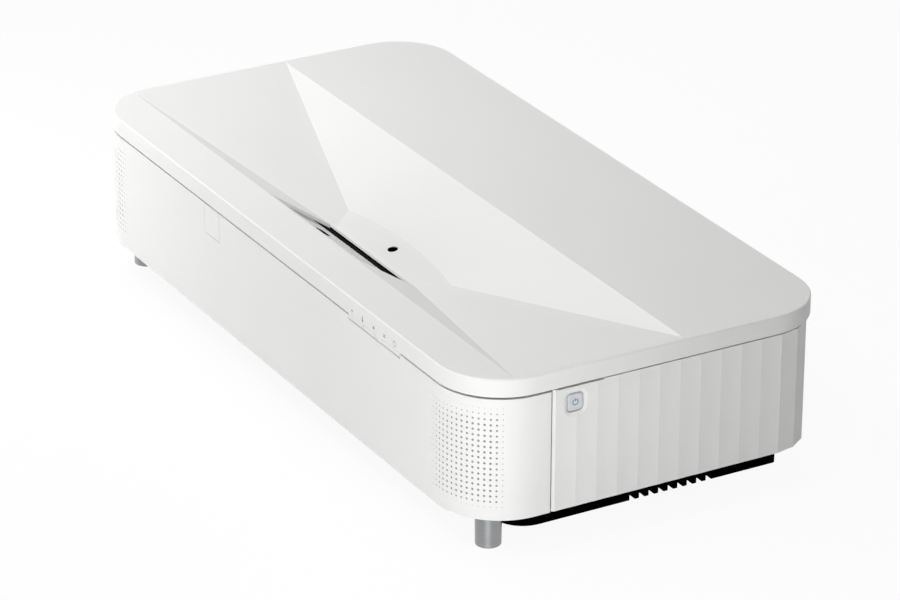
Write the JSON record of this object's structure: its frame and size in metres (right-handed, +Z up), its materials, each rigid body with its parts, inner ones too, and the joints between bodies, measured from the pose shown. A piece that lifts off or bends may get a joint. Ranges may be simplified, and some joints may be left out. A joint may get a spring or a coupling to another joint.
{
  "type": "ultra-short-throw home projector",
  "caption": "Low white table projector with a light funnel in its lid, perforated speaker corners, pleated side panels, a power button, a black vented base and screw feet.",
  "frame": {"origin": "centre of the body's plan on the table surface, under the foot pads", "axes": "+X along the long side towards the end with the power button, -Y towards the front, +Z up"},
  "size_m": [0.695, 0.341, 0.157],
  "materials": {
    "black_base": "matte black",
    "black_plastic": "moulded",
    "board_green": "solder mask",
    "chassis_steel": "black coated sheet",
    "engine_cast": "die cast",
    "fin_aluminium": "extruded",
    "foot_metal": "satin turned",
    "foot_rubber": "matte",
    "lens_glass": "polished",
    "mirror_face": "first surface",
    "sensor_lens": "gloss black",
    "socket_metal": "stamped shell",
    "wheel_phosphor": "coated disc",
    "white_case": "fine matte white",
    "white_gloss": "satin white",
    "window_glass": "coated flat glass",
    "zinc_steel": "zinc plated"
  },
  "bodies": {
    "housing": {"ac_inlet": "black_plastic", "audio_jack": "black_plastic", "base_tray": "black_base", "button_switch": "board_green", "chassis": "chassis_steel", "fan_frame_exhaust_front": "black_plastic", "fan_frame_exhaust_rear": "black_plastic", "fan_frame_intake": "black_plastic", "foot_nut_front_left": "zinc_steel", "foot_nut_front_right": "zinc_steel", "foot_nut_rear_left": "zinc_steel", "foot_nut_rear_right": "zinc_steel", "front_case": "white_case", "front_lens": "lens_glass", "hdmi_socket_1": "socket_metal", "hdmi_socket_2": "socket_metal", "hdmi_socket_3": "socket_metal", "heat_sink": "fin_aluminium", "indicator_light_guide": "white_gloss", "laser_module": "engine_cast", "lens_barrel": "engine_cast", "lens_cradle": "engine_cast", "light_engine": "engine_cast", "main_board": "board_green", "mirror_bracket": "engine_cast", "obstacle_sensor": "sensor_lens", "port_plate": "black_plastic", "power_supply": "board_green", "projection_mirror": "mirror_face", "projection_window": "window_glass", "rear_panel": "white_case", "receiver_window": "white_case", "side_panel_left": "white_case", "side_panel_right": "white_case", "speaker_left": "black_plastic", "speaker_right": "black_plastic", "top_cover": "white_case", "usb_socket_1": "socket_metal", "usb_socket_2": "socket_metal", "wheel_motor": "engine_cast", "window_bezel": "black_plastic"},
    "power_button": {"power_button": "white_gloss"},
    "focus_ring": {"focus_ring": "black_plastic"},
    "phosphor_wheel": {"phosphor_wheel": "wheel_phosphor"},
    "foot_front_left": {"foot_front_left": "foot_metal", "foot_pad_front_left": "foot_rubber"},
    "foot_front_right": {"foot_front_right": "foot_metal", "foot_pad_front_right": "foot_rubber"},
    "foot_rear_left": {"foot_rear_left": "foot_metal", "foot_pad_rear_left": "foot_rubber"},
    "foot_rear_right": {"foot_rear_right": "foot_metal", "foot_pad_rear_right": "foot_rubber"},
    "fan_exhaust_front": {"fan_rotor_exhaust_front": "black_plastic"},
    "fan_exhaust_rear": {"fan_rotor_exhaust_rear": "black_plastic"},
    "fan_intake": {"fan_rotor_intake": "black_plastic"}
  },
  "joints": [
    {"name": "power_button_press", "type": "slide", "parent": "housing", "child": "power_button", "axis": [-1, 0, 0], "range_m": [0, 0.0012], "stiffness_N_per_m": 800, "springref_m": -0.0004},
    {"name": "focus_ring_turn", "type": "hinge", "parent": "housing", "child": "focus_ring", "pos_m": [0, 0.002, 0.078], "axis": [0, 1, 0], "range_deg": [-20, 20]},
    {"name": "phosphor_wheel_spin", "type": "hinge", "parent": "housing", "child": "phosphor_wheel", "pos_m": [-0.0614, 0.07, 0.08], "axis": [1, 0, 0], "continuous": true},
    {"name": "foot_front_left_screw", "type": "slide", "parent": "housing", "child": "foot_front_left", "axis": [0, 0, -1], "range_m": [0, 0.01]},
    {"name": "foot_front_right_screw", "type": "slide", "parent": "housing", "child": "foot_front_right", "axis": [0, 0, -1], "range_m": [0, 0.01]},
    {"name": "foot_rear_left_screw", "type": "slide", "parent": "housing", "child": "foot_rear_left", "axis": [0, 0, -1], "range_m": [0, 0.01]},
    {"name": "foot_rear_right_screw", "type": "slide", "parent": "housing", "child": "foot_rear_right", "axis": [0, 0, -1], "range_m": [0, 0.01]},
    {"name": "fan_exhaust_front_spin", "type": "hinge", "parent": "housing", "child": "fan_exhaust_front", "pos_m": [-0.3335, -0.03, 0.0785], "axis": [1, 0, 0], "continuous": true},
    {"name": "fan_exhaust_rear_spin", "type": "hinge", "parent": "housing", "child": "fan_exhaust_rear", "pos_m": [-0.3335, 0.055, 0.0785], "axis": [1, 0, 0], "continuous": true},
    {"name": "fan_intake_spin", "type": "hinge", "parent": "housing", "child": "fan_intake", "pos_m": [0.3085, 0.0282, 0.0785], "axis": [1, 0, 0], "continuous": true}
  ]
}
